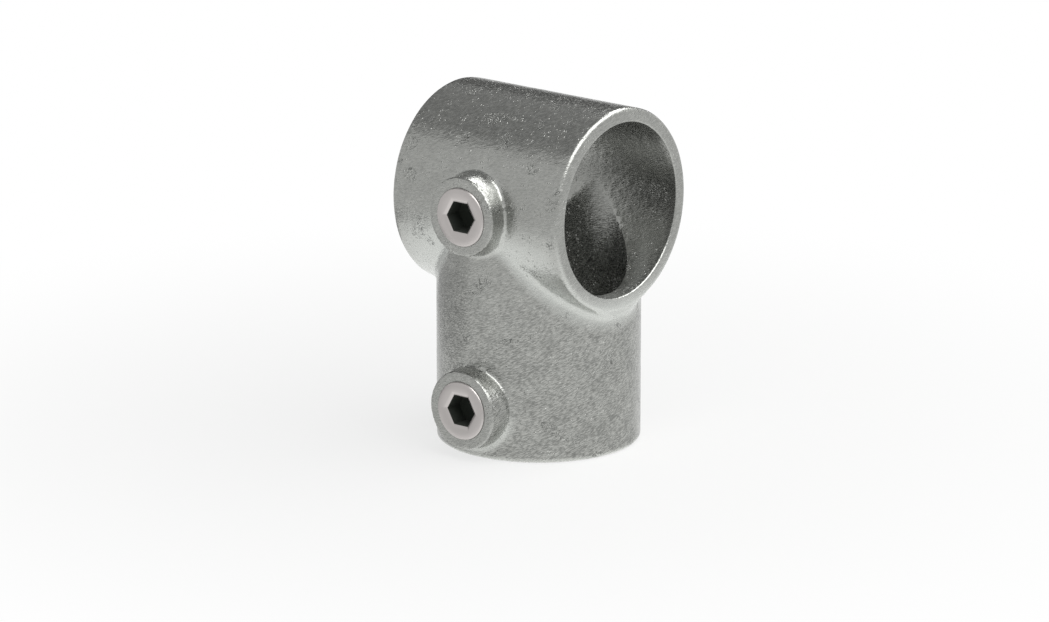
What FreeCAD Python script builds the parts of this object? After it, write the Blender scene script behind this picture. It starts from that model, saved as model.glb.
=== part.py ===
import FreeCAD, Part
import math
import os

# Tube clamp tee fitting
# A galvanised iron casting with two sockets at right angles. The crossing socket is open at both
# ends, the upright socket below it at one, and a set screw in a boss on each grips what it takes.
# The origin is the point where the two socket axes meet. +X runs along the crossing socket, +Z
# points up along the axis of the upright socket, and both set screws face -Y.
# Lengths are in millimetres and angles in degrees.

# Sockets
tube_diameter = 48.3  # outside diameter that each socket is made to take
tube_clearance = 0.35  # how far the bore stands off that diameter, all round
socket_wall = 4.05  # iron round each bore
rim_overhang = 0.75  # how far each end of the crossing socket stands past the side of the upright
upright_length = 40.95  # upright socket, from the underside of the crossing socket to its open end
rim_round = 1.2  # outer edge of each open end
rim_chords = 3  # straight steps that the rounded edge is made in, within 0.05 of the round
mouth_chamfer = 0.5  # edge of the bore at each open end

# Blend in the crease between the two sockets
crease_round = 3.2  # radius of the ball that rolls along the crease
crease_lean = 6.0  # angle at which each side of the blend dips into its socket
crease_start = 6.0  # angle round the socket, from its front line, where the blend begins
rim_start = 40.0  # angle round the rim's rounding where the blend below it begins
rim_slope = 8.5  # slope of the blend below the rim

# Bosses for the set screws
boss_wall = 2.8  # iron round the tapped hole, at the face of the boss
boss_height = 5.15  # how far the boss stands above the crown of its socket
boss_draft = 3.5  # slope that lets the boss leave the sand mould
boss_edge_chamfer = 0.4  # outer edge of the boss face
boss_foot_round = 1.0  # hollow where the boss meets its socket
boss_end_band = 3.4  # from the face of the lower boss to the level of the open end

# Set screws, three eighths inch parallel pipe thread, modelled at the crests of the thread
screw_diameter = 16.5
screw_clearance = 0.05  # gap between screw and tapped hole, all round
screw_proud = 0.5  # how far the head end stands out of the boss
screw_tip_gap = 0.1  # how far the point stays behind the wall of the bore
screw_face_chamfer = 0.4  # outer edge of the head end
key_size = 8.0  # hexagon key, across flats
key_clearance = 0.1  # gap between key and hexagon, all round
key_bevel_width = 0.9  # bevel round the mouth of the hexagon
key_bevel_depth = 0.45
cup_radius = 5.6  # sharp ring of the cup point, which does the gripping
cup_depth = 1.2
cup_chamfer = 0.9  # height of the chamfer round the point
screw_web = 2.9  # metal between the floor of the hexagon and the cup

# Sizes that follow from those above
bore_radius = tube_diameter / 2 + tube_clearance
socket_radius = bore_radius + socket_wall
half_length = socket_radius + rim_overhang
upright_drop = socket_radius + upright_length
screw_radius = screw_diameter / 2
hole_radius = screw_radius + screw_clearance
boss_radius = hole_radius + boss_wall
boss_reach = socket_radius + boss_height
lower_screw_height = -(upright_drop - boss_end_band - boss_radius)
screw_tip = bore_radius + screw_tip_gap
screw_length = boss_reach + screw_proud - screw_tip
hexagon_radius = key_size / 2 + key_clearance
hexagon_depth = screw_length - cup_depth - screw_web

SEAM_TURN = 45  # turns the seams of the upright socket away from the bosses and blends
TOUCH = 0.01  # how close a point lies to a surface that it belongs to

ORIGIN = FreeCAD.Vector(0, 0, 0)
X_AXIS = FreeCAD.Vector(1, 0, 0)
Y_AXIS = FreeCAD.Vector(0, 1, 0)
Z_AXIS = FreeCAD.Vector(0, 0, 1)


def turned(outline):
    """Solid made by turning an outline of (radius, height) corners about the Z axis."""
    corners = [FreeCAD.Vector(radius, 0, height) for radius, height in outline]
    face = Part.Face(Part.makePolygon(corners + corners[:1]))
    return face.revolve(ORIGIN, Z_AXIS, 360)


def facing_front(shape, distance, height):
    """Shape made along +Z, turned to point along -Y and set at a distance from the axes."""
    placed = shape.copy()
    placed.rotate(ORIGIN, X_AXIS, 90)
    placed.translate(FreeCAD.Vector(0, -distance, height))
    return placed


def along_crossing(shape):
    """Shape made along +Z, laid along +X."""
    placed = shape.copy()
    placed.rotate(ORIGIN, Y_AXIS, 90)
    return placed


# Outside of the sockets


def rim(end, inward):
    """Corners (radius, height) of the rounded edge at an open end, from flat face to wall."""
    corners = []
    for step in range(rim_chords + 1):
        angle = math.radians(90 * step / rim_chords)
        radius = socket_radius - rim_round * (1 - math.sin(angle))
        corners.append((radius, end + inward * rim_round * (1 - math.cos(angle))))
    return corners


def boss_radius_at(distance):
    """Radius of the boss, which widens towards the socket, at a distance from the axes."""
    return boss_radius + (boss_reach - distance) * math.tan(math.radians(boss_draft))


def boss():
    """Round boss with a chamfered face, from well inside the socket outwards."""
    root = bore_radius / 2
    edge = boss_reach - boss_edge_chamfer
    return turned(
        [
            (0, root),
            (boss_radius_at(root), root),
            (boss_radius_at(edge), edge),
            (boss_radius - boss_edge_chamfer, boss_reach),
            (0, boss_reach),
        ]
    )


def add_boss(socket, height):
    """Socket with a boss at the given height, its foot blended into the wall."""
    body = socket.fuse(facing_front(boss(), 0, height))

    def on_foot(edge):
        points = edge.discretize(5)
        radii = [math.hypot(p.x, p.z - height) for p in points]
        round_boss = [abs(r - boss_radius_at(-p.y)) < TOUCH for r, p in zip(radii, points)]
        at_socket = [p.y > -socket_radius - TOUCH for p in points]
        return all(round_boss + at_socket)

    return body.makeFillet(boss_foot_round, [edge for edge in body.Edges if on_foot(edge)])


def crossing_outside():
    """Crossing socket without its bore, with the upper boss."""
    left = [(0, -half_length)] + rim(-half_length, 1)
    right = rim(half_length, -1)[::-1] + [(0, half_length)]
    return add_boss(along_crossing(turned(left + right)), 0)


def upright_outside():
    """Upright socket without its bore, with both bosses, cut off level with the crossing axis."""
    top = 2 * boss_radius
    bar = turned([(0, -upright_drop)] + rim(-upright_drop, 1) + [(socket_radius, top), (0, top)])
    bar.rotate(ORIGIN, Z_AXIS, SEAM_TURN)
    body = add_boss(add_boss(bar, lower_screw_height), 0)
    width = 2 * boss_reach
    above = Part.makeBox(2 * width, 2 * width, top, FreeCAD.Vector(-width, -width, 0))
    return body.cut(above)


# Blend between the sockets


def hollow_and_corner(low, middle, high, corner):
    """Edges of the hollow through three points and of the two lines that close it at a corner."""
    hollow = Part.Arc(low, middle, high).toShape()
    return [hollow, Part.makeLine(high, corner), Part.makeLine(corner, low)]


def crease_profile():
    """Low, middle and high point of the hollow, and the inner corner, where the blend is widest.

    A ball that rolls in the crease touches the upright socket and the crossing socket along two
    ellipses. In any plane square to Y the two touching points, the hollow between them and a corner
    inside the iron are the same figure, only smaller towards the front and back.
    """
    on_upright = FreeCAD.Vector(socket_radius, 0, -socket_radius - crease_round)
    on_crossing = FreeCAD.Vector(socket_radius + crease_round, 0, -socket_radius)
    half_turn = math.radians(45 - crease_lean)
    half_chord = (on_crossing - on_upright).Length / 2
    hollow_radius = half_chord / math.sin(half_turn)
    outward = FreeCAD.Vector(1, 0, -1).normalize()
    across = FreeCAD.Vector(1, 0, 1).normalize()
    centre = (on_upright + on_crossing) * 0.5 + outward * (hollow_radius * math.cos(half_turn))
    reach = half_turn + math.radians(crease_lean)

    def hollow(angle):
        inward = outward * (-hollow_radius * math.cos(angle))
        return centre + inward + across * (hollow_radius * math.sin(angle))

    corner = FreeCAD.Vector(socket_radius, 0, -socket_radius) - outward * (socket_wall / 2)
    return [hollow(-reach), hollow(0), hollow(reach), corner]


def at_crease(profile_point, scale, back):
    """Point of the profile, scaled and set back to its place along the crease."""
    return FreeCAD.Vector(profile_point.x * scale, socket_radius * back, profile_point.z * scale)


def swept_along_crease(edge):
    """Face that an edge of the profile sweeps as it shrinks along the half ellipse of the crease.

    The edge and the quarter turns of the ellipse are both exact rational curves, so the face is
    their product: each pole is a profile pole scaled by the sine and set back by the cosine.
    """
    first = math.radians(crease_start)
    last = math.pi - first
    turn = Part.Arc(
        FreeCAD.Vector(math.sin(first), -math.cos(first), 0),
        FreeCAD.Vector(1, 0, 0),
        FreeCAD.Vector(math.sin(last), -math.cos(last), 0),
    ).toShape()
    around = turn.Curve.toBSpline(turn.FirstParameter, turn.LastParameter)
    across = edge.Curve.toBSpline(edge.FirstParameter, edge.LastParameter)
    poles = []
    weights = []
    for turn_pole, turn_weight in zip(around.getPoles(), around.getWeights()):
        poles.append([at_crease(pole, turn_pole.x, turn_pole.y) for pole in across.getPoles()])
        weights.append([turn_weight * weight for weight in across.getWeights()])
    surface = Part.BSplineSurface()
    surface.buildFromPolesMultsKnots(
        poles,
        around.getMultiplicities(),
        across.getMultiplicities(),
        around.getKnots(),
        across.getKnots(),
        False,
        False,
        around.Degree,
        across.Degree,
        weights,
    )
    return surface.toShape()


def crease_end(profile, angle):
    """Flat face that closes the blend at an angle round the socket."""
    scale = math.sin(math.radians(angle))
    back = -math.cos(math.radians(angle))
    return Part.Face(Part.Wire(hollow_and_corner(*[at_crease(p, scale, back) for p in profile])))


def crease_blend():
    """Blend on the +X side, kept behind a cone that slopes away from the crossing socket's rim."""
    profile = crease_profile()
    faces = [swept_along_crease(edge) for edge in hollow_and_corner(*profile)]
    faces.append(crease_end(profile, crease_start))
    faces.append(crease_end(profile, 180 - crease_start))
    shell = Part.makeShell(faces)
    shell.sewShape()
    blend = Part.Solid(shell)
    if blend.Volume < 0:
        blend.reverse()
    return blend.common(rim_cone())


def rim_cone():
    """Cone about +X that leaves the rounding of the +X rim and widens towards the upright."""
    start = math.radians(rim_start)
    slope = math.tan(math.radians(rim_slope))
    sunk = rim_round / 10
    narrow = socket_radius - rim_round * (1 - math.sin(start)) - sunk
    length = half_length - rim_round * (1 - math.cos(start)) + sunk * slope
    return along_crossing(Part.makeCone(narrow + length / slope, narrow, length))


def outside():
    """Casting without its bores and tapped holes."""
    right = crease_blend()
    left = right.mirror(ORIGIN, X_AXIS)
    return crossing_outside().fuse([upright_outside(), right, left])


# Bores and tapped holes


def mouth(end, inward):
    """Corners of a bore's cutter at an open end, which leave the mouth chamfered."""
    beyond = end - inward * mouth_chamfer
    within = end + inward * mouth_chamfer
    return [(0, beyond), (bore_radius + 2 * mouth_chamfer, beyond), (bore_radius, within)]


def casting():
    """One-piece casting with a bore through each socket and a hole in each boss.

    The crossing bore's wall is in three stretches, because the middle one is open to the upright
    bore below and the outer two are nearly whole.
    """
    wall = [(bore_radius, -half_length / 2), (bore_radius, half_length / 2)]
    crossing_outline = mouth(-half_length, 1) + wall + mouth(half_length, -1)[::-1]
    crossing_bore = along_crossing(turned(crossing_outline))
    upright_bore = turned(mouth(-upright_drop, 1) + [(bore_radius, 0), (0, 0)])
    upright_bore.rotate(ORIGIN, Z_AXIS, SEAM_TURN)
    hole = Part.makeCylinder(hole_radius, boss_reach)
    holes = [facing_front(hole, bore_radius / 2, height) for height in (0, lower_screw_height)]
    return outside().cut([crossing_bore, upright_bore] + holes)


# Set screws


def hexagon_corners(inner_radius, height):
    """Corners of a hexagon square to Z, with two of them on the X axis."""
    corner = inner_radius / math.cos(math.radians(30))
    turns = [math.radians(60 * i) for i in range(6)]
    return [FreeCAD.Vector(corner * math.cos(t), corner * math.sin(t), height) for t in turns]


def hexagon_block(low_radius, low, high_radius, high):
    """Solid between two hexagons, with flat sides."""
    below = hexagon_corners(low_radius, low)
    above = hexagon_corners(high_radius, high)
    loops = [below, above]
    for i in range(6):
        loops.append([below[i - 1], below[i], above[i], above[i - 1]])
    faces = [Part.Face(Part.makePolygon(loop + loop[:1])) for loop in loops]
    return Part.Solid(Part.Shell(faces))


def set_screw(height):
    """Set screw with a cup point at its inner end and a hexagon in its outer face."""
    body = turned(
        [
            (0, cup_depth),
            (cup_radius, 0),
            (screw_radius - cup_chamfer, 0),
            (screw_radius, cup_chamfer),
            (screw_radius, screw_length - screw_face_chamfer),
            (screw_radius - screw_face_chamfer, screw_length),
            (0, screw_length),
        ]
    )
    beyond = screw_length + key_bevel_depth
    recess = hexagon_block(hexagon_radius, screw_length - hexagon_depth, hexagon_radius, beyond)
    widest = hexagon_radius + 2 * key_bevel_width
    bevel = hexagon_block(hexagon_radius, screw_length - key_bevel_depth, widest, beyond)
    return facing_front(body.cut([recess, bevel]), screw_tip, height)


os.makedirs("parts", exist_ok=True)
pieces = {
    "tee_casting": casting(),
    "upper_set_screw": set_screw(0),
    "lower_set_screw": set_screw(lower_screw_height),
}
for name, shape in pieces.items():
    solid = shape.Solids[0]
    solid.exportStep("parts/" + name + ".step")
    print(name, "valid" if solid.isValid() else "faulty", len(shape.Solids), round(solid.Volume, 1))
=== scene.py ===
# %% [markdown]
# # A tube clamp tee fitting
# The object is a small iron casting with two sockets at right angles. The upper socket is open at
# both ends and the lower one at its foot, and each has a set screw that grips what is pushed in.
# The engineering model gives every size. This lesson dresses it: a cast and galvanised skin, real
# screw threads, and the soft studio light that makes dull metal readable.

# %% Load the engineering model
import math

import bmesh
import bpy
import numpy as np
from mathutils import Matrix, Vector, noise


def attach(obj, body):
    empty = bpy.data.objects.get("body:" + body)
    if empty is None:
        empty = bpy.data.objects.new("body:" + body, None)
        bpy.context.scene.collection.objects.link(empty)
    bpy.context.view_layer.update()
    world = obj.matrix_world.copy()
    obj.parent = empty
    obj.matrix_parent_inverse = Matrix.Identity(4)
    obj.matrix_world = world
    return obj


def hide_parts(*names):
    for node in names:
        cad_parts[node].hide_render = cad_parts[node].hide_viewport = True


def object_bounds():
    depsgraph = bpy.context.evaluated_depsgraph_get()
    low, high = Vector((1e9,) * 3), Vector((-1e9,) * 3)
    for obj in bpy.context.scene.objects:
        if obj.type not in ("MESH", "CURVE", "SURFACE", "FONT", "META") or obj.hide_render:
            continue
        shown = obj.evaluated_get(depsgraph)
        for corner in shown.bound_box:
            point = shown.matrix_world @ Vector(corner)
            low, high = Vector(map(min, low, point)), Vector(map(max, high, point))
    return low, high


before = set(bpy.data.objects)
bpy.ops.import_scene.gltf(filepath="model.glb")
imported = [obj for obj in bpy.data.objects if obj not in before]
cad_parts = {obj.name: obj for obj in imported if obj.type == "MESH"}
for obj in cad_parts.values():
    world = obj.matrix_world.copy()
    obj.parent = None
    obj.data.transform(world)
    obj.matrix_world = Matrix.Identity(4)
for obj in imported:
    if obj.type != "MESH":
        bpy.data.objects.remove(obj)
cad_box = [list(corner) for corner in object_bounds()]
scene = bpy.context.scene

# %% [markdown]
# ## The camera
# A product photo is taken from far off with a long lens, so parallel edges hardly converge. A
# camera could be turned by hand until the view looks right. Here its place was worked out from the
# outlines of the two sockets, so that sizes can be compared too. Three directions at right angles
# describe how it is held: to its right, upwards, and back from the object.

# %% Place the camera
azimuth, elevation = math.radians(39.484), math.radians(15.678)
lens_length = 195.24
stand_off, moved_right, moved_up = 1.575302, -0.003988, -0.032515
back = Vector(
    (
        math.sin(azimuth) * math.cos(elevation),
        -math.cos(azimuth) * math.cos(elevation),
        math.sin(elevation),
    )
)
right = Vector((math.cos(azimuth), math.sin(azimuth), 0))
above = back.cross(right)
camera = bpy.data.objects.new("camera", bpy.data.cameras.new("camera"))
camera.data.lens = lens_length
camera.data.clip_start = 0.05
held = Matrix((right, above, back)).transposed().to_4x4()
held.translation = back * stand_off + right * moved_right + above * moved_up
camera.matrix_world = held
scene.collection.objects.link(camera)
scene.camera = camera
print("camera stands at", [round(value, 3) for value in camera.location])

# %% [markdown]
# ## Building materials from nodes
# Every finish here is a small network of shader nodes. It could be drawn in the shader editor, but
# written out it can be read, changed and run again. One helper adds a node, sets its options and
# fills or links its inputs, so each finish reads from top to bottom. Colours are written as hex
# values, which are meant for the eye, so another helper turns them into linear light.


# %% Node and colour helpers
def linear(hex_colour):
    """Linear red, green, blue and alpha of an sRGB hex colour."""
    shares = [int(hex_colour[i : i + 2], 16) / 255 for i in (1, 3, 5)]
    return [s / 12.92 if s <= 0.04045 else ((s + 0.055) / 1.055) ** 2.4 for s in shares] + [1.0]


def add_node(tree, kind, settings=None, inputs=None):
    """New node with its settings, and with each input given a value or linked to a socket."""
    node = tree.nodes.new(kind)
    for name, value in (settings or {}).items():
        setattr(node, name, value)
    for name, value in (inputs or {}).items():
        if isinstance(value, bpy.types.NodeSocket):
            tree.links.new(value, node.inputs[name])
        else:
            node.inputs[name].default_value = value
    return node


def new_material(name):
    """Material with an empty node tree, and that tree."""
    material = bpy.data.materials.new(name)
    material.use_nodes = True
    material.node_tree.nodes.clear()
    return material, material.node_tree


def per_metre(millimetres):
    """Scale of a pattern whose features are about this wide."""
    return 1000 / millimetres


WHITE = linear("#FFFFFF")
print("zinc grey in linear light:", [round(share, 3) for share in linear("#A9AAA6")])

# %% [markdown]
# ## The studio
# A dull metal shows little of its own: what the eye reads is the room that it mirrors. A picture of
# a real studio could be wrapped round the scene. A white room, a floor and a few plain cards are
# chosen instead, because each one's effect on the part can be seen and tuned.


# %% World
def seen_directly(tree):
    """Socket that is 1 for rays from the camera and for mirrored or transmitted ones."""
    path = add_node(tree, "ShaderNodeLightPath")
    mirrored = add_node(
        tree,
        "ShaderNodeMath",
        {"operation": "MAXIMUM"},
        {0: path.outputs["Is Glossy Ray"], 1: path.outputs["Is Transmission Ray"]},
    )
    either = add_node(
        tree,
        "ShaderNodeMath",
        {"operation": "MAXIMUM"},
        {0: path.outputs["Is Camera Ray"], 1: mirrored.outputs[0]},
    )
    return either.outputs[0]


# The camera and mirrored rays see pure white all round. The light that falls on the part from
# around is only half as strong, so the background is white without flooding the part.
world = bpy.data.worlds.new("white_studio")
world.use_nodes = True
tree = world.node_tree
tree.nodes.clear()
backdrop = add_node(tree, "ShaderNodeBackground", None, {"Color": WHITE})
ambient = add_node(
    tree, "ShaderNodeBackground", None, {"Color": linear("#F4F6F8"), "Strength": 0.5}
)
either_sky = add_node(
    tree,
    "ShaderNodeMixShader",
    None,
    {0: seen_directly(tree), 1: ambient.outputs[0], 2: backdrop.outputs[0]},
)
add_node(tree, "ShaderNodeOutputWorld", None, {"Surface": either_sky.outputs[0]})
scene.world = world
print("nodes in the world:", len(tree.nodes))

# %% Floor
floor_reach = 6.0
ground = cad_box[0][2]
floor_mesh = bpy.data.meshes.new("floor")
corners = [(-1, -1), (1, -1), (1, 1), (-1, 1)]
floor_mesh.from_pydata(
    [(x * floor_reach, y * floor_reach, ground) for x, y in corners], [], [(0, 1, 2, 3)]
)
floor = bpy.data.objects.new("floor", floor_mesh)
scene.collection.objects.link(floor)
print("floor at", round(ground * 1000, 2), "mm")

# %% [markdown]
# The part stands on white paper over a light table. Plain white paper would hold the shadow as
# well, but the metal mirrors it, and upright walls would look as bright as what faces down. A light
# table glows mostly straight up, which brightens what faces down and leaves upright walls grey.

# %% White paper on a light table
# Layer Weight tells how steeply a mirrored ray meets the paper. Rays that meet it steeply find it
# brighter, as over a table whose louvres send the light straight up.
sweep, tree = new_material("white_paper_on_light_table")
steep, shallow, upward_extra = 0.4, 0.75, 0.76
aslant = add_node(tree, "ShaderNodeLayerWeight", None, {"Blend": 0.5})
straight_up = add_node(
    tree,
    "ShaderNodeMapRange",
    None,
    {
        "Value": aslant.outputs["Facing"],
        "From Min": steep,
        "From Max": shallow,
        "To Min": upward_extra,
        "To Max": 0.0,
    },
)
in_mirror = add_node(tree, "ShaderNodeLightPath").outputs["Is Glossy Ray"]
glow_strength = add_node(
    tree,
    "ShaderNodeMath",
    {"operation": "MULTIPLY_ADD"},
    {0: in_mirror, 1: straight_up.outputs["Result"], 2: 1.0},
)

# Near the part the paper's own shading shows through the glow, which keeps the part's shadow.
shadow_edge, clear_of_shadow, glow_in_shadow = 0.08, 0.25, 0.7
spot = add_node(tree, "ShaderNodeTexCoord").outputs["Object"]
away = add_node(
    tree, "ShaderNodeVectorMath", {"operation": "DISTANCE"}, {0: spot, 1: (0, 0, ground)}
)
fade = add_node(
    tree,
    "ShaderNodeMapRange",
    {"interpolation_type": "SMOOTHSTEP"},
    {
        "Value": away.outputs["Value"],
        "From Min": shadow_edge,
        "From Max": clear_of_shadow,
        "To Min": glow_in_shadow,
        "To Max": 1.0,
    },
)
paper = add_node(tree, "ShaderNodeBsdfDiffuse", None, {"Color": linear("#F2F2F0")})
glow = add_node(
    tree, "ShaderNodeEmission", None, {"Color": WHITE, "Strength": glow_strength.outputs[0]}
)
glow_share = add_node(
    tree,
    "ShaderNodeMath",
    {"operation": "MULTIPLY"},
    {0: seen_directly(tree), 1: fade.outputs["Result"]},
)
both = add_node(
    tree,
    "ShaderNodeMixShader",
    None,
    {0: glow_share.outputs[0], 1: paper.outputs[0], 2: glow.outputs[0]},
)
add_node(tree, "ShaderNodeOutputMaterial", None, {"Surface": both.outputs[0]})
floor_mesh.materials.append(sweep)
print("nodes in the paper:", len(tree.nodes))

# %% [markdown]
# Round the part are a few things for the metal to mirror. Lamps could do that, but each would flood
# the part with light as well. So there is one lamp, and the rest are cards that only mirrored rays
# meet. A soft box hangs over the right and draws bright lines along the edges, and a small bright
# strip behind does the same for the bosses. A grey card hangs over the left, a darker one stands
# behind, and a small pale one stands by the left foot.


# %% Lamp and cards
def aim(thing, place, target):
    """Stands a lamp or card at a place, facing the target."""
    thing.location = place
    thing.rotation_mode = "QUATERNION"
    thing.rotation_quaternion = (Vector(target) - Vector(place)).to_track_quat("-Z", "Y")


def mirrored_card(name, place, target, size, hex_colour, strength=1.0):
    """Card of an even tone that only mirrored rays meet."""
    mesh = bpy.data.meshes.new(name)
    w, h = size[0] / 2, size[1] / 2
    mesh.from_pydata([(-w, -h, 0), (w, -h, 0), (w, h, 0), (-w, h, 0)], [], [(0, 1, 2, 3)])
    card = bpy.data.objects.new(name, mesh)
    aim(card, place, target)
    card.visible_camera = False
    card.visible_shadow = False
    card.visible_diffuse = False
    card.visible_transmission = False
    face, tree = new_material(name + "_face")
    colours = {"Color": linear(hex_colour), "Strength": strength}
    tone = add_node(tree, "ShaderNodeEmission", None, colours)
    add_node(tree, "ShaderNodeOutputMaterial", None, {"Surface": tone.outputs[0]})
    mesh.materials.append(face)
    scene.collection.objects.link(card)
    return card


# The soft box is made twice: its lamp lights the part evenly, and its front, just below the lamp,
# is what the metal mirrors.
box_place, box_size = (0.62, 0.22, 0.80), (1.2, 1.65)
front_place, below_box = (0.62, 0.22, 0.79), (0.62, 0.22, 0.0)
lamp = bpy.data.objects.new("soft_box", bpy.data.lights.new("soft_box", "AREA"))
lamp.data.shape = "RECTANGLE"
lamp.data.size, lamp.data.size_y = box_size
lamp.data.energy = 10
aim(lamp, box_place, below_box)
scene.collection.objects.link(lamp)

by_foot = (-0.105, -0.04, -0.055)
cards = [
    mirrored_card("soft_box_front", front_place, below_box, box_size, "#FFFFFF", 4.5),
    mirrored_card("strip_behind", (-0.24, 0.84, 0.78), (-0.24, 0.84, 0), (0.6, 0.4), "#FFFFFF", 8),
    mirrored_card("card_over", (-0.85, 0.50, 0.79), (-0.85, 0.50, 0), (1.5, 1.9), "#A0A0A0"),
    mirrored_card("card_behind", (-1.15, 1.1, 0.40), (0, 0, 0), (2.3, 0.75), "#484848"),
    mirrored_card("card_left", by_foot, (0, -0.02, -0.055), (0.14, 0.03), "#CACACA"),
]

# The standard view shows each colour as it is written.
scene.view_settings.view_transform = "Standard"
print("lamp of", lamp.data.energy, "W and cards", [card.name for card in cards])

# %% [markdown]
# ## The cast skin
# On the real part the outside is one soft skin: two sockets of the same width, a round boss on each,
# and a hollow in the crease between them that dies away towards the front. It could be joined from
# cylinders and bevelled, but bevels break down where two equal cylinders run into each other. So
# the skin is described by a distance instead: a function that is negative inside the iron and zero
# on its surface. A voxel remesh gives an even net of small faces, and each point is then moved to
# where the distance is zero.

# %% Sizes of the casting, in millimetres
MM = 0.001
bore_radius = 24.5
socket_radius = 28.55
half_length = 29.3  # of the crossing socket, which lies along X
upright_drop = 69.5  # from the crossing axis down to the foot
rim_round = 1.2
mouth_round = 0.55
crease_round = 3.2
rim_start, rim_slope = math.radians(40), math.radians(8.5)  # where the crease runs out at the rim
run_out_round = 0.6
boss_radius, boss_reach, boss_draft = 11.1, 33.7, math.radians(3.5)
boss_edge_round, foot_round_above, foot_round_below = 0.45, 0.3, 1.6
hole_radius = 8.3
boss_heights = {"upper": 0.0, "lower": -55.0}
print("sockets", 2 * socket_radius, "mm across, walls of", round(socket_radius - bore_radius, 2))


# %% Distance to the skin
def round_joint(a, b, radius):
    """Distance to two solids together, with a hollow of this radius where they meet."""
    corner = np.hypot(np.maximum(radius - a, 0), np.maximum(radius - b, 0))
    return np.maximum(radius, np.minimum(a, b)) - corner


def round_edge(a, b, radius):
    """Distance to what two solids share, with their common edge rounded."""
    corner = np.hypot(np.maximum(radius + a, 0), np.maximum(radius + b, 0))
    return np.minimum(-radius, np.maximum(a, b)) + corner


def crease_distance(x, y, z):
    """Distance to the iron that fills the crease, in a hollow round, for x from 0 up.

    In a plane square to Y the sockets are two straight edges, and the hollow between them is a
    quarter circle that shrinks with their distance from the middle.
    """
    half = np.sqrt(np.maximum(socket_radius**2 - y**2, 1e-6))
    share = half / socket_radius
    hollow_round = crease_round * share
    hollow = round_joint(x - half, -z - half, hollow_round) * share

    # A cone that leaves the rounding of the rim ends the hollow there.
    narrow = socket_radius - rim_round * (1 - math.sin(rim_start))
    end = half_length - rim_round * (1 - math.cos(rim_start))
    from_cone = x - end + (np.hypot(y, z) - narrow) * math.tan(rim_slope)
    cone = from_cone * math.cos(rim_slope)
    hollow = round_edge(hollow, np.maximum(cone, x - end), run_out_round * share)

    # Away from the crease it is set far off, so that it is never the nearest.
    least_half, just_past, far_off = 3, 1.02, 1e3
    beside = np.minimum(x, -z) < half / 2
    beyond = np.maximum(x, -z) > half + just_past * hollow_round
    hollow[beside | beyond | (half < least_half)] = far_off
    return hollow


def boss_wall_distance(x, y, z, height):
    """Distance sideways from a boss's wall, which widens towards the socket."""
    return np.hypot(x, z - height) - boss_radius - (boss_reach + y) * math.tan(boss_draft)


def skin_distance(points):
    """Distance in millimetres from each point to the outside of the casting."""
    x, y, z = np.abs(points[:, 0]), points[:, 1], points[:, 2]
    about_x, about_z = np.hypot(y, z), np.hypot(x, y)
    crossing = round_edge(about_x - socket_radius, x - half_length, rim_round)
    upright = round_edge(about_z - socket_radius, -upright_drop - z, rim_round)
    upright = np.maximum(upright, z)
    body = np.minimum(np.minimum(crossing, upright), crease_distance(x, y, z))
    for height in boss_heights.values():
        wall = boss_wall_distance(x, y, z, height) * math.cos(boss_draft)
        boss = round_edge(wall, -y - boss_reach, boss_edge_round)
        boss = np.maximum(boss, y + bore_radius / 2)
        below = np.clip((height - z) / boss_radius, 0, 1)
        foot_round = foot_round_above + (foot_round_below - foot_round_above) * below
        body = round_joint(body, boss, foot_round)
    return body


probe = np.array([[0.0, -40.0, 0.0], [0.0, 0.0, -20.0]])
print("distance 40 mm in front and inside:", skin_distance(probe).round(2))


# %% Mesh helpers
def new_object(name, mesh):
    """Object that shows a mesh."""
    made = bpy.data.objects.new(name, mesh)
    scene.collection.objects.link(made)
    return made


def points_of(mesh):
    """Places of a mesh's points, in millimetres."""
    flat = np.empty(len(mesh.vertices) * 3)
    mesh.vertices.foreach_get("co", flat)
    return flat.reshape(-1, 3) / MM


def move_points(mesh, points):
    """Puts a mesh's points at these places, in millimetres."""
    mesh.vertices.foreach_set("co", (points * MM).ravel())
    mesh.update()


def apply_modifier(made, kind, **settings):
    """Adds a modifier to an object and keeps its result as the mesh."""
    modifier = made.modifiers.new(kind.lower(), kind)
    for name, value in settings.items():
        setattr(modifier, name, value)
    graph = bpy.context.evaluated_depsgraph_get()
    mesh = bpy.data.meshes.new_from_object(made.evaluated_get(graph))
    made.modifiers.clear()
    made.data = mesh
    return mesh


print("first corner of the floor, mm:", points_of(floor_mesh)[0].round(1))

# %% Rough body and its even net
standing = Matrix.Identity(4)
sideways = Matrix.Rotation(math.pi / 2, 4, "Y")
frontward = Matrix.Rotation(math.pi / 2, 4, "X")
rough_segments, net_width = 160, 0.6
rough = bmesh.new()
solids = [
    (socket_radius, -half_length, half_length, sideways, 0),
    (socket_radius, -upright_drop, 0, standing, 0),
    (boss_radius, bore_radius / 2, boss_reach, frontward, boss_heights["upper"]),
    (boss_radius, bore_radius / 2, boss_reach, frontward, boss_heights["lower"]),
]
for radius, low, high, turn, height in solids:
    lift = Matrix.Translation((0, 0, height * MM))
    bmesh.ops.create_cone(
        rough,
        cap_ends=True,
        segments=rough_segments,
        radius1=radius * MM,
        radius2=radius * MM,
        depth=(high - low) * MM,
        matrix=lift @ turn @ Matrix.Translation((0, 0, (low + high) / 2 * MM)),
    )
casting_mesh = bpy.data.meshes.new("tee_casting_skin")
rough.to_mesh(casting_mesh)
rough.free()
casting = new_object("cast_tee_body", casting_mesh)
mesh = apply_modifier(casting, "REMESH", mode="VOXEL", voxel_size=net_width * MM)
print("net of", len(mesh.polygons), "faces")

# %% [markdown]
# The voxel net follows the rough cylinders in small steps. Each point now slides along the slope of
# the distance until it lies on the skin. Sliding alone would crowd the points in some places, so in
# between they are drawn towards the middle of their neighbours, which keeps the net even.


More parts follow.
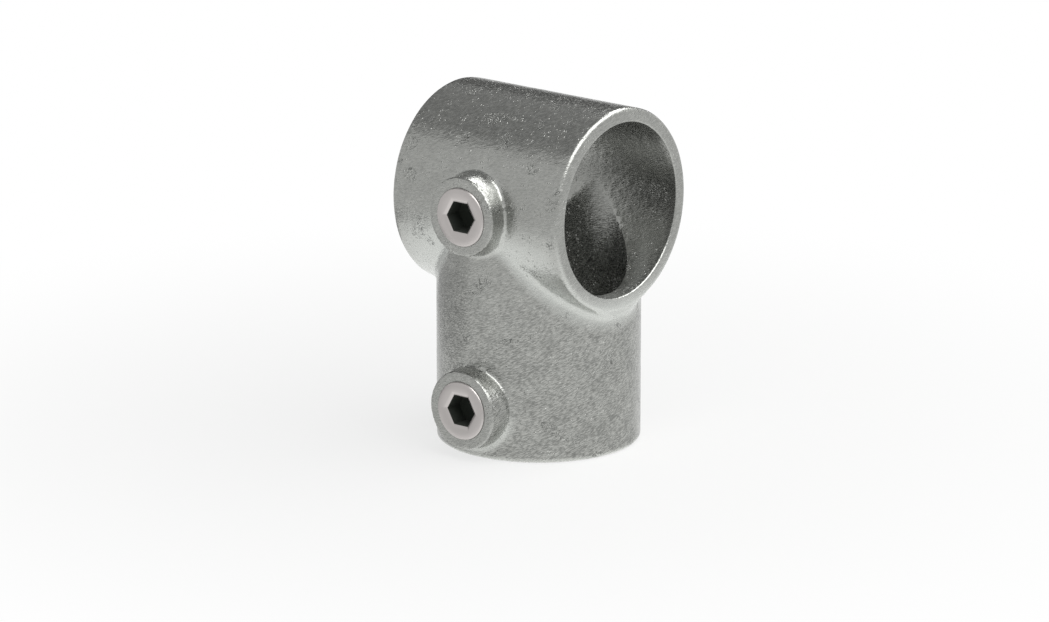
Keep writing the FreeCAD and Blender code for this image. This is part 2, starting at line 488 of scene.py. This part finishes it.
# %% Move the net onto the skin
def slope_of(distance, points):
    """Direction and steepness in which a distance grows at each point."""
    step = 0.002
    slope = np.empty_like(points)
    for axis in range(3):
        shift = np.zeros(3)
        shift[axis] = step
        slope[:, axis] = (distance(points + shift) - distance(points - shift)) / (2 * step)
    return slope


def onto_skin(points, rounds):
    """Moves each point along the slope until it lies on the skin."""
    least_steepness, longest_step = 0.05, 0.6
    for _ in range(rounds):
        slope = slope_of(skin_distance, points)
        steep = np.maximum((slope**2).sum(1), least_steepness)
        step = (skin_distance(points) / steep)[:, None] * slope
        length = np.linalg.norm(step, axis=1, keepdims=True)
        points = points - step * np.minimum(1, longest_step / np.maximum(length, 1e-9))
    return points


def evened(points, edges):
    """Each point moved to the middle of its neighbours."""
    total = np.zeros_like(points)
    count = np.zeros(len(points))
    for here, there in ((0, 1), (1, 0)):
        np.add.at(total, edges[:, here], points[edges[:, there]])
        np.add.at(count, edges[:, here], 1)
    return total / count[:, None]


edges = np.empty(len(mesh.edges) * 2, dtype=np.int64)
mesh.edges.foreach_get("vertices", edges)
edges = edges.reshape(-1, 2)
first_rounds, evenings, later_rounds, pull = 6, 4, 3, 0.6
points = onto_skin(points_of(mesh), first_rounds)
for _ in range(evenings):
    points = points * (1 - pull) + evened(points, edges) * pull
    points = onto_skin(points, later_rounds)
print("largest distance from the skin:", np.abs(skin_distance(points)).max().round(4), "mm")

# %% [markdown]
# Sand casting leaves a surface that is never quite even, and the zinc bath rounds it over again.
# Bump in the material would only fake the shading, and the net is fine enough to be moved itself.
# Each point sinks by up to about a tenth of a millimetre, in swells about as wide as a fingertip and
# in smaller ones, and never rises above the drawn size.

# %% Uneven cast surface
swell_width, swell_depth = 9.0, 0.09
ripple_width, ripple_depth = 2.4, 0.035
normals = slope_of(skin_distance, points)
normals /= np.maximum(np.linalg.norm(normals, axis=1, keepdims=True), 1e-9)
swells = np.array([noise.noise(Vector(p) / swell_width) for p in points.tolist()])
ripples = np.array([noise.noise(Vector(p) / ripple_width) for p in points.tolist()])
sink = swell_depth * (0.5 + 0.5 * swells) + ripple_depth * (0.5 + 0.5 * ripples)
move_points(mesh, points - normals * sink[:, None])
print("sinks by", sink.min().round(3), "to", sink.max().round(3), "mm")

# %% [markdown]
# The real bores are cast with cores, and the screw holes are drilled and tapped. Both could be
# part of the distance too, but a crisp round edge would be lost in the net. So they are cut last,
# with turned cutters. Each bore's cutter flares at the open end and leaves the mouth gently
# rounded.


# %% Cutters
def sleeve_faces(rows, segments):
    """Faces of a closed sleeve of rows of points, with a cap on its first and last row."""
    faces = []
    for row in range(rows - 1):
        low, high = row * segments, (row + 1) * segments
        for step in range(segments):
            following = (step + 1) % segments
            faces.append((low + step, low + following, high + following, high + step))
    faces.append(list(range(segments))[::-1])
    faces.append([(rows - 1) * segments + step for step in range(segments)])
    return faces


def turned_mesh(name, outline, segments):
    """Closed mesh made by turning an outline of (radius, height) points about the Z axis."""
    vertices = []
    for radius, height in outline:
        for step in range(segments):
            angle = 2 * math.pi * step / segments
            vertices.append((radius * math.cos(angle), radius * math.sin(angle), height))
    mesh = bpy.data.meshes.new(name)
    faces = sleeve_faces(len(outline), segments)
    mesh.from_pydata((np.array(vertices) * MM).tolist(), [], faces)
    return mesh


def flare(end, inward):
    """Outline of a bore's cutter at an open end, from beyond the face to the plain wall."""
    past_face, widest = 1.0, 1.4
    outline = [(bore_radius + widest * mouth_round, end - inward * past_face)]
    for angle in (75, 50, 25, 0):
        turn = math.radians(angle)
        radius = bore_radius + mouth_round * (1 - math.cos(turn))
        outline.append((radius, end + inward * mouth_round * (1 - math.sin(turn))))
    return outline


def wall_rows(low, high, count):
    """Evenly spaced outline points along a bore."""
    return [(bore_radius, low + (high - low) * step / count) for step in range(1, count)]


past_mouth = 0.8
plain_end = half_length - past_mouth
through = flare(-half_length, 1) + wall_rows(-plain_end, plain_end, 30)
through += flare(half_length, -1)[::-1]
upward_bore = flare(-upright_drop, 1) + wall_rows(past_mouth - upright_drop, 0, 36)
upward_bore.append((bore_radius, 0))
tapped = [(hole_radius, bore_radius / 2), (hole_radius, boss_reach + 1)]
print("points in the outlines:", len(through), len(upward_bore), len(tapped))

# %% Bores and tapped holes
# The upright bore is turned a little, so that its points don't fall on those of the other bore.
off_turn = Matrix.Rotation(0.01, 4, "Z")
bore_segments, hole_segments = 160, 96
for name, outline, turn, height, segments in (
    ("crossing_bore", through, sideways, 0, bore_segments),
    ("upright_bore", upward_bore, off_turn, 0, bore_segments),
    ("upper_hole", tapped, frontward, boss_heights["upper"], hole_segments),
    ("lower_hole", tapped, frontward, boss_heights["lower"], hole_segments),
):
    cutter = new_object(name, turned_mesh(name, outline, segments))
    cutter.data.transform(Matrix.Translation((0, 0, height * MM)) @ turn)
    mesh = apply_modifier(
        casting, "BOOLEAN", operation="DIFFERENCE", object=cutter, solver="MANIFOLD"
    )
    bpy.data.objects.remove(cutter)
    print("after", name, len(mesh.polygons), "faces")


# %% Smooth shading with crisp edges
# The faces of the net are blended into one skin, and the rims of the screw holes stay crisp.
def shade(mesh, crisp_degrees):
    """Smooth shading, except across edges sharper than this."""
    mesh.shade_smooth()
    mesh.set_sharp_from_angle(angle=math.radians(crisp_degrees))


shade(mesh, 40)
print("casting has", len(mesh.vertices), "points")

# %% [markdown]
# The hollows and the lower edges are given a paler and more even tone. This is painted light: it
# stands in for the light that the bright floor throws up into the crease and onto the lower edges.
# Elsewhere the crystals of the coat show as flecks, most of all on the upright socket. Both could be
# painted by hand, but the sizes already tell where the hollows and edges are. So how much painted
# light each point gets, and how strongly it is flecked, is worked out from them and kept with the
# mesh.


# %% Mark where light is painted
def near_both(first, second, width):
    """Share from 0 to 1 that is 1 where both distances are zero and fades within a width."""
    return np.clip(1 - (np.abs(first) + np.abs(second)) / width, 0, 1)


x, y, z = points_of(mesh).T
about_x, about_z = np.hypot(y, z) - socket_radius, np.hypot(x, y) - socket_radius

# The painted light in the crease widens from 3 mm near the middle to 12 mm towards the rims. It
# reaches further over the crossing socket than down the upright one, and dies away below the axis.
fullness, fade_height = 1.5, 8
crease_width = np.interp(np.abs(x), (10, 24), (3, 12))
hollows = np.minimum(1, fullness * near_both(2 * about_x, about_z, crease_width))
hollows = hollows * np.clip(-z / fade_height, 0, 1)

# Along the rims of the crossing socket a thin band below is painted lighter, and round the foot
# everywhere: a painted reflection of the floor.
rim_light_inset, rim_light_width, rim_fade = 0.4, 1.2, 0.7 * socket_radius
rim = near_both(np.abs(x) - half_length + rim_light_inset, about_x + rim_light_inset, rim_light_width)
hollows = np.maximum(hollows, rim * np.clip(-z / rim_fade, 0, 1))
foot = near_both(z + upright_drop - rim_light_inset, about_z + rim_light_inset, rim_light_width)
hollows = np.maximum(hollows, foot)

# Round the bosses the painted light lies on the lower side.
boss_light_width, least_boss_light = 5, 0.15
for height in boss_heights.values():
    socket = about_x if height == 0 else about_z
    wall = boss_wall_distance(x, y, z, height)
    below = np.clip(2 * (height - z) / boss_radius, least_boss_light, 1)
    hollows = np.maximum(hollows, near_both(socket, 2 * wall, boss_light_width) * (y < 0) * below)
# This share of painted light from below is kept with the mesh for the coat's tint.
painted_light_attribute = mesh.attributes.new("painted_light_from_below", "FLOAT", "POINT")
painted_light_attribute.data.foreach_set("value", hollows)
print("share of points in hollows:", (hollows > 0.1).mean().round(3))

# %% Mark where zinc is flecked
# The flecks are strong below the crossing socket, and weak on it and on the faces of the bosses.
upright_only = np.interp(z, (-36, -12), (1, 0))
off_boss_faces = np.interp(-y, (31, 33), (1, 0))
flecked = mesh.attributes.new("flecked_zinc", "FLOAT", "POINT")
flecked.data.foreach_set("value", upright_only * off_boss_faces)
print("share of points that are flecked:", (upright_only * off_boss_faces > 0.1).mean().round(3))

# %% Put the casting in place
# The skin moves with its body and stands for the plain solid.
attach(casting, "casting")
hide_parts("tee_casting")
print("casting box, mm:", points_of(mesh).min(0).round(3), points_of(mesh).max(0).round(3))

# %% [markdown]
# ## Hot-dip galvanised iron
# After casting, the part is dipped in molten zinc. The zinc freezes into a thin, dull metal coat:
# mottled grey where the crystals lie differently, faintly pebbled, with flocks of small beads that
# catch the lamp and a few dark wrinkles where the skin of the melt folded. To the eye that is a
# lively pale grey with soft broken highlights and no clear mirror image. A picture of zinc could be
# wrapped round the part, but it would show seams and one fixed light. Noise patterns have real
# sizes and no seams. The crystals are about a third of a millimetre high, four times as wide, and
# lean the way the zinc ran off.

# %% Galvanised coat: real sizes, in millimetres
crystal_height = 0.29
crystal_stretch, crystal_lean = 4.0, (0.25, -0.3, 0)  # times as wide, and turned in radians
cloud_width = 4.5
pebble_width, pebble_relief = 2.2, 0.1
crystal_relief = 0.06
bead_width, bead_relief = 0.8, 0.16
wrinkle_width, wrinkle_apart, wrinkle_relief = 1.5, 6, 0.06
galvanised, tree = new_material("hot_dip_galvanised_iron")
place = add_node(tree, "ShaderNodeTexCoord").outputs["Object"]
print("crystals per centimetre of height:", round(10 / crystal_height))

# %% Galvanised coat: tint
# A crystal is a grain of noise drawn out sideways and tilted.
drawn_out = add_node(
    tree,
    "ShaderNodeMapping",
    {"vector_type": "TEXTURE"},
    {
        "Vector": place,
        "Rotation": crystal_lean,
        "Scale": (crystal_stretch, crystal_stretch, 1.0),
    },
)
patches = add_node(
    tree,
    "ShaderNodeTexNoise",
    None,
    {"Vector": place, "Scale": per_metre(cloud_width), "Detail": 3},
)
flecks = add_node(
    tree,
    "ShaderNodeTexNoise",
    None,
    {"Vector": drawn_out.outputs[0], "Scale": per_metre(crystal_height), "Detail": 1},
)

# Crystals make up three quarters of the mottling and wide clouds the rest. Where the coat is more
# strongly flecked, the same mottling gets more contrast.
mottle = add_node(
    tree,
    "ShaderNodeMix",
    None,
    {0: 0.75, 2: patches.outputs["Fac"], 3: flecks.outputs["Fac"]},
)
fleck_share = add_node(tree, "ShaderNodeAttribute", {"attribute_name": "flecked_zinc"})
contrast = add_node(
    tree,
    "ShaderNodeMapRange",
    None,
    {"Value": fleck_share.outputs["Fac"], "To Min": 1.5, "To Max": 4.4},
)
swing = add_node(
    tree, "ShaderNodeMath", {"operation": "SUBTRACT"}, {0: mottle.outputs[0], 1: 0.5}
)
depth = add_node(
    tree,
    "ShaderNodeMath",
    {"operation": "MULTIPLY_ADD", "use_clamp": True},
    {0: swing.outputs[0], 1: contrast.outputs[0], 2: 0.5},
)

# The open faces run from dark to light grey, and where light is painted from below a paler, even
# tone covers them: painted light.
open_face = add_node(
    tree,
    "ShaderNodeMix",
    {"data_type": "RGBA"},
    {0: depth.outputs[0], 6: linear("#80817E"), 7: linear("#A9AAA6")},
)
painted_light_node = add_node(tree, "ShaderNodeAttribute", {"attribute_name": "painted_light_from_below"})
tint = add_node(
    tree,
    "ShaderNodeMix",
    {"data_type": "RGBA"},
    {0: painted_light_node.outputs["Fac"], 6: open_face.outputs[2], 7: linear("#BFC1BD")},
)
print("nodes up to the tint:", len(tree.nodes))

# %% [markdown]
# The relief of the coat is too shallow and too fine for the net of points, so it is a height that
# only tilts the surface's reflections: soft pebbles, the steps between crystals, and beads. Beads
# could be small spheres on the net, but there are far too many. They are domes in some cells of a
# cell pattern, and keep together in flocks, as spatter does.

# %% Galvanised coat: pebbles and beads
pebble = add_node(
    tree,
    "ShaderNodeTexNoise",
    None,
    {"Vector": place, "Scale": per_metre(pebble_width), "Detail": 1},
)
fine_relief = add_node(
    tree,
    "ShaderNodeMath",
    {"operation": "MULTIPLY"},
    {0: flecks.outputs["Fac"], 1: crystal_relief},
)
skin_relief = add_node(
    tree,
    "ShaderNodeMath",
    {"operation": "MULTIPLY_ADD"},
    {0: pebble.outputs["Fac"], 1: pebble_relief, 2: fine_relief.outputs[0]},
)
cells = add_node(
    tree, "ShaderNodeTexVoronoi", None, {"Vector": place, "Scale": per_metre(bead_width)}
)
bead = add_node(
    tree,
    "ShaderNodeMapRange",
    None,
    {
        "Value": cells.outputs["Distance"],
        "From Min": 0.0,
        "From Max": 0.32,
        "To Min": 1.0,
        "To Max": 0.0,
    },
)
dome = add_node(tree, "ShaderNodeMath", {"operation": "SQRT"}, {0: bead.outputs[0]})
chosen = add_node(
    tree, "ShaderNodeMath", {"operation": "GREATER_THAN"}, {0: cells.outputs["Color"], 1: 0.6}
)
flock = add_node(
    tree,
    "ShaderNodeMapRange",
    None,
    {"Value": patches.outputs["Fac"], "From Min": 0.48, "From Max": 0.53},
)
sown = add_node(
    tree, "ShaderNodeMath", {"operation": "MULTIPLY"}, {0: chosen.outputs[0], 1: flock.outputs[0]}
)
sown_dome = add_node(
    tree, "ShaderNodeMath", {"operation": "MULTIPLY"}, {0: dome.outputs[0], 1: sown.outputs[0]}
)
beaded_relief = add_node(
    tree,
    "ShaderNodeMath",
    {"operation": "MULTIPLY_ADD"},
    {0: sown_dome.outputs[0], 1: bead_relief, 2: skin_relief.outputs[0]},
)
print("nodes with the relief:", len(tree.nodes))

# %% Galvanised coat: wrinkles
# A thin dark line follows where a noise crosses its middle value, in a few places only.
wander = add_node(
    tree,
    "ShaderNodeTexNoise",
    None,
    {"Vector": place, "Scale": per_metre(wrinkle_width), "Detail": 1, "Distortion": 1},
)
off_middle = add_node(
    tree, "ShaderNodeMath", {"operation": "SUBTRACT"}, {0: wander.outputs["Fac"], 1: 0.5}
)
from_line = add_node(tree, "ShaderNodeMath", {"operation": "ABSOLUTE"}, {0: off_middle.outputs[0]})
line = add_node(
    tree,
    "ShaderNodeMapRange",
    None,
    {
        "Value": from_line.outputs[0],
        "From Min": 0.012,
        "From Max": 0.03,
        "To Min": 1.0,
        "To Max": 0.0,
    },
)
places = add_node(
    tree,
    "ShaderNodeTexNoise",
    None,
    {"Vector": place, "Scale": per_metre(wrinkle_apart), "Detail": 0},
)
rare = add_node(
    tree,
    "ShaderNodeMapRange",
    None,
    {"Value": places.outputs["Fac"], "From Min": 0.68, "From Max": 0.72},
)
wrinkle = add_node(
    tree, "ShaderNodeMath", {"operation": "MULTIPLY"}, {0: line.outputs[0], 1: rare.outputs[0]}
)
relief = add_node(
    tree,
    "ShaderNodeMath",
    {"operation": "MULTIPLY_ADD"},
    {0: wrinkle.outputs[0], 1: -wrinkle_relief, 2: beaded_relief.outputs[0]},
)
dirt = add_node(
    tree, "ShaderNodeMath", {"operation": "MULTIPLY"}, {0: wrinkle.outputs[0], 1: 0.7}
)
stained = add_node(
    tree,
    "ShaderNodeMix",
    {"data_type": "RGBA"},
    {0: dirt.outputs[0], 6: tint.outputs[2], 7: linear("#4A4C4A")},
)
print("nodes with the wrinkles:", len(tree.nodes))

# %% [markdown]
# Zinc is a metal, so the colour sits in the mirrored light. A thin pale film of oxide lies over it
# and scatters some of the light, so the metal share stays below one. Where light is painted from
# below it is lower still, so those places take up more of the light from all round. The coat is dull
# but not matt: a low roughness with much relief looks livelier than a high one.

# %% Galvanised coat: the metal itself
bump = add_node(
    tree, "ShaderNodeBump", None, {"Height": relief.outputs[0], "Strength": 1.0, "Distance": MM}
)
dullness = add_node(
    tree,
    "ShaderNodeMapRange",
    None,
    {
        "Value": flecks.outputs["Fac"],
        "From Min": 0.35,
        "From Max": 0.65,
        "To Min": 0.2,
        "To Max": 0.3,
    },
)
# The metal share drops where light is painted from below, to brighten those places further.
metal_share = add_node(
    tree,
    "ShaderNodeMapRange",
    None,
    {"Value": painted_light_node.outputs["Fac"], "To Min": 0.85, "To Max": 0.5},
)
shader = add_node(
    tree,
    "ShaderNodeBsdfPrincipled",
    None,
    {
        "Base Color": stained.outputs[2],
        "Metallic": metal_share.outputs[0],
        "Roughness": dullness.outputs[0],
        "Normal": bump.outputs["Normal"],
    },
)
add_node(tree, "ShaderNodeOutputMaterial", None, {"Surface": shader.outputs[0]})
casting.data.materials.clear()
casting.data.materials.append(galvanised)
print("nodes in the coat:", len(tree.nodes))

# %% [markdown]
# ## The set screws
# A set screw is a headless stub with a pipe thread, a hexagon for the key in its outer end and a
# sharp ring at the other that does the gripping. A screw modifier could wind a thread profile
# round the axis, but its ends would stay open. A thread is one groove wound round and round, so the
# radius depends on both the height and the turn. The mesh is a sleeve of rows round the axis whose
# radius follows that rule, closed at both ends by rings that shrink to the middle.

# %% Sizes of a set screw, in millimetres
screw_tip = 24.6  # from the socket's axis
screw_length = 9.6
thread_top, thread_root = 8.24, 7.45
thread_pitch = 1.337  # 19 turns to the inch
run_out_length = 0.6
face_chamfer, cup_chamfer = 0.38, 0.9
key_flat, bevel_width, bevel_depth = 4.1, 0.95, 0.45
key_depth = 5.5
edge_round = 0.08
screw_segments = 192
turns = [2 * math.pi * step / screw_segments for step in range(screw_segments)]
print("turns of thread:", round(screw_length / thread_pitch, 1))


# %% Rows of a screw
def thread_radius(along, turn):
    """Radius of the threaded sleeve at a height above the tip and a turn round the axis."""
    wave = math.cos(2 * math.pi * along / thread_pitch - turn)
    run_out = min(1.0, max(0.0, (screw_length - run_out_length - along) / thread_pitch))
    thread = thread_top - (thread_top - thread_root) / 2 * (1 - wave) * run_out
    outer_end = thread_top - max(0.0, face_chamfer - (screw_length - along))
    inner_end = thread_top - max(0.0, cup_chamfer - along)
    return min(thread, outer_end, inner_end)


def hexagon_radius(flat, turn):
    """Distance from the axis to a hexagon's side at this turn, for half its width across flats."""
    return flat / math.cos(turn % (math.pi / 3) - math.pi / 6)


def round_row(radius, along):
    """Ring of points, as the radius at each turn and the height above the tip."""
    return [radius] * screw_segments, along


def thread_rows():
    """Rows of the threaded sleeve."""
    end_inset, steps = 0.06, 96
    rows = []
    for step in range(steps + 1):
        along = end_inset + (screw_length - 2 * end_inset) * step / steps
        rows.append(([thread_radius(along, turn) for turn in turns], along))
    return rows


def screw_rows():
    """Rows from the middle of the cup, over the thread and face, to the floor of the hexagon."""
    # The cup's rings have a radius and a height above the tip.
    cup = [(0.6, 1.13), (3.0, 0.65), (5.3, 0.16), (5.55, 0.03), (5.75, 0.0), (7.2, 0.0)]
    rows = [round_row(radius, along) for radius, along in cup] + thread_rows()
    outer_ring, inner_ring = thread_top - face_chamfer - edge_round, 6.6
    rows += [round_row(outer_ring, screw_length), round_row(inner_ring, screw_length)]

    # The recess has hexagons, with half their width across flats and a depth below the face.
    recess = [
        (key_flat + bevel_width + edge_round, 0.0),
        (key_flat + bevel_width - edge_round, 0.05),
        (key_flat + 0.1, bevel_depth - 0.04),
        (key_flat, bevel_depth + edge_round),
        (key_flat, 2.5),
        (key_flat, key_depth - 0.2),
        (key_flat - 0.25, key_depth),
    ]
    for flat, depth in recess:
        rows.append(([hexagon_radius(flat, turn) for turn in turns], screw_length - depth))

    # Its floor is a shallow cone, left by the drill.
    floor_cone = ((2.2, 0.3), (0.4, 0.6))
    for radius, deeper in floor_cone:
        rows.append(round_row(radius, screw_length - key_depth - deeper))
    return rows


print("rows in a screw:", len(screw_rows()))


# %% Make the two screws
def set_screw(name, height):
    """Set screw facing -Y, at this height, with the sides of its hexagon marked for a painted shade.
    """
    rows = screw_rows()
    vertices = []
    for radii, along in rows:
        for reach, turn in zip(radii, turns):
            across, up = reach * math.cos(turn), reach * math.sin(turn)
            vertices.append((across * MM, -(screw_tip + along) * MM, (height + up) * MM))
    mesh = bpy.data.meshes.new(name)
    mesh.from_pydata(vertices, [], sleeve_faces(len(rows), screw_segments))
    shade(mesh, 35)
    recess_radius = 5 * MM
    bevel_foot = (screw_tip + screw_length - bevel_depth) * MM
    recess_floor = (screw_tip + screw_length - key_depth - 1) * MM
    # Faces down the hexagon take the second finish, which is a painted shade.
    for face in mesh.polygons:
        off_axis = face.center.xz - Vector((0, height * MM))
        if off_axis.length < recess_radius and recess_floor < -face.center.y < bevel_foot:
            face.material_index = 1
    return new_object(name, mesh)


screws = []
for which, height in boss_heights.items():
    screw = set_screw(which + "_threaded_set_screw", height)
    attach(screw, which + "_screw")
    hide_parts(which + "_set_screw")
    screws.append(screw)
    print(screw.name, len(screw.data.polygons), "faces")

# %% [markdown]
# ## Plated screw steel
# The screws are machined from steel bar and thinly plated, so they are smoother than the casting
# and a little warmer in colour. To the eye that is a calm grey with broad soft highlights. One
# flat grey would look like plastic, so two noises vary it. Handling leaves faint smudges of a few
# millimetres, which change tone and gloss. The plating itself has a grain far too fine to see, so
# it is drawn at a third of a millimetre and very shallow.

# %% Plated steel
smudge_width, grain_width, grain_relief = 5, 0.35, 0.006
plated, tree = new_material("plated_machined_steel")
place = add_node(tree, "ShaderNodeTexCoord").outputs["Object"]
smudge = add_node(
    tree,
    "ShaderNodeTexNoise",
    None,
    {"Vector": place, "Scale": per_metre(smudge_width), "Detail": 3},
)
fine = add_node(
    tree,
    "ShaderNodeTexNoise",
    None,
    {"Vector": place, "Scale": per_metre(grain_width), "Detail": 2},
)
polish = add_node(
    tree,
    "ShaderNodeBump",
    None,
    {"Height": fine.outputs["Fac"], "Strength": 1.0, "Distance": grain_relief * MM},
)
tone = add_node(
    tree,
    "ShaderNodeMix",
    {"data_type": "RGBA"},
    {0: smudge.outputs["Fac"], 6: linear("#A8A4A2"), 7: linear("#AFABA9")},
)
dullness = add_node(
    tree,
    "ShaderNodeMapRange",
    None,
    {
        "Value": smudge.outputs["Fac"],
        "From Min": 0.3,
        "From Max": 0.7,
        "To Min": 0.28,
        "To Max": 0.34,
    },
)
shader = add_node(
    tree,
    "ShaderNodeBsdfPrincipled",
    None,
    {
        "Base Color": tone.outputs[2],
        "Metallic": 1.0,
        "Roughness": dullness.outputs[0],
        "Normal": polish.outputs["Normal"],
    },
)
add_node(tree, "ShaderNodeOutputMaterial", None, {"Surface": shader.outputs[0]})
print("nodes in the plating:", len(tree.nodes))

# %% [markdown]
# The sides of the hexagon get a finish of their own: a painted shade, dark, rough and only slightly
# metallic, which the eye reads as a deep dark hole. With the plated finish they would mirror the
# white room.

# %% Painted shade in the hexagon
hexagon_shade, tree = new_material("painted_shade_in_hexagon")
# A dark grey painted as shade down the hexagon.
shader = add_node(
    tree,
    "ShaderNodeBsdfPrincipled",
    None,
    {"Base Color": linear("#282D26"), "Metallic": 0.2, "Roughness": 0.9},
)
add_node(tree, "ShaderNodeOutputMaterial", None, {"Surface": shader.outputs[0]})
for screw in screws:
    screw.data.materials.append(plated)
    screw.data.materials.append(hexagon_shade)
print("screws dressed:", [screw.name for screw in screws])
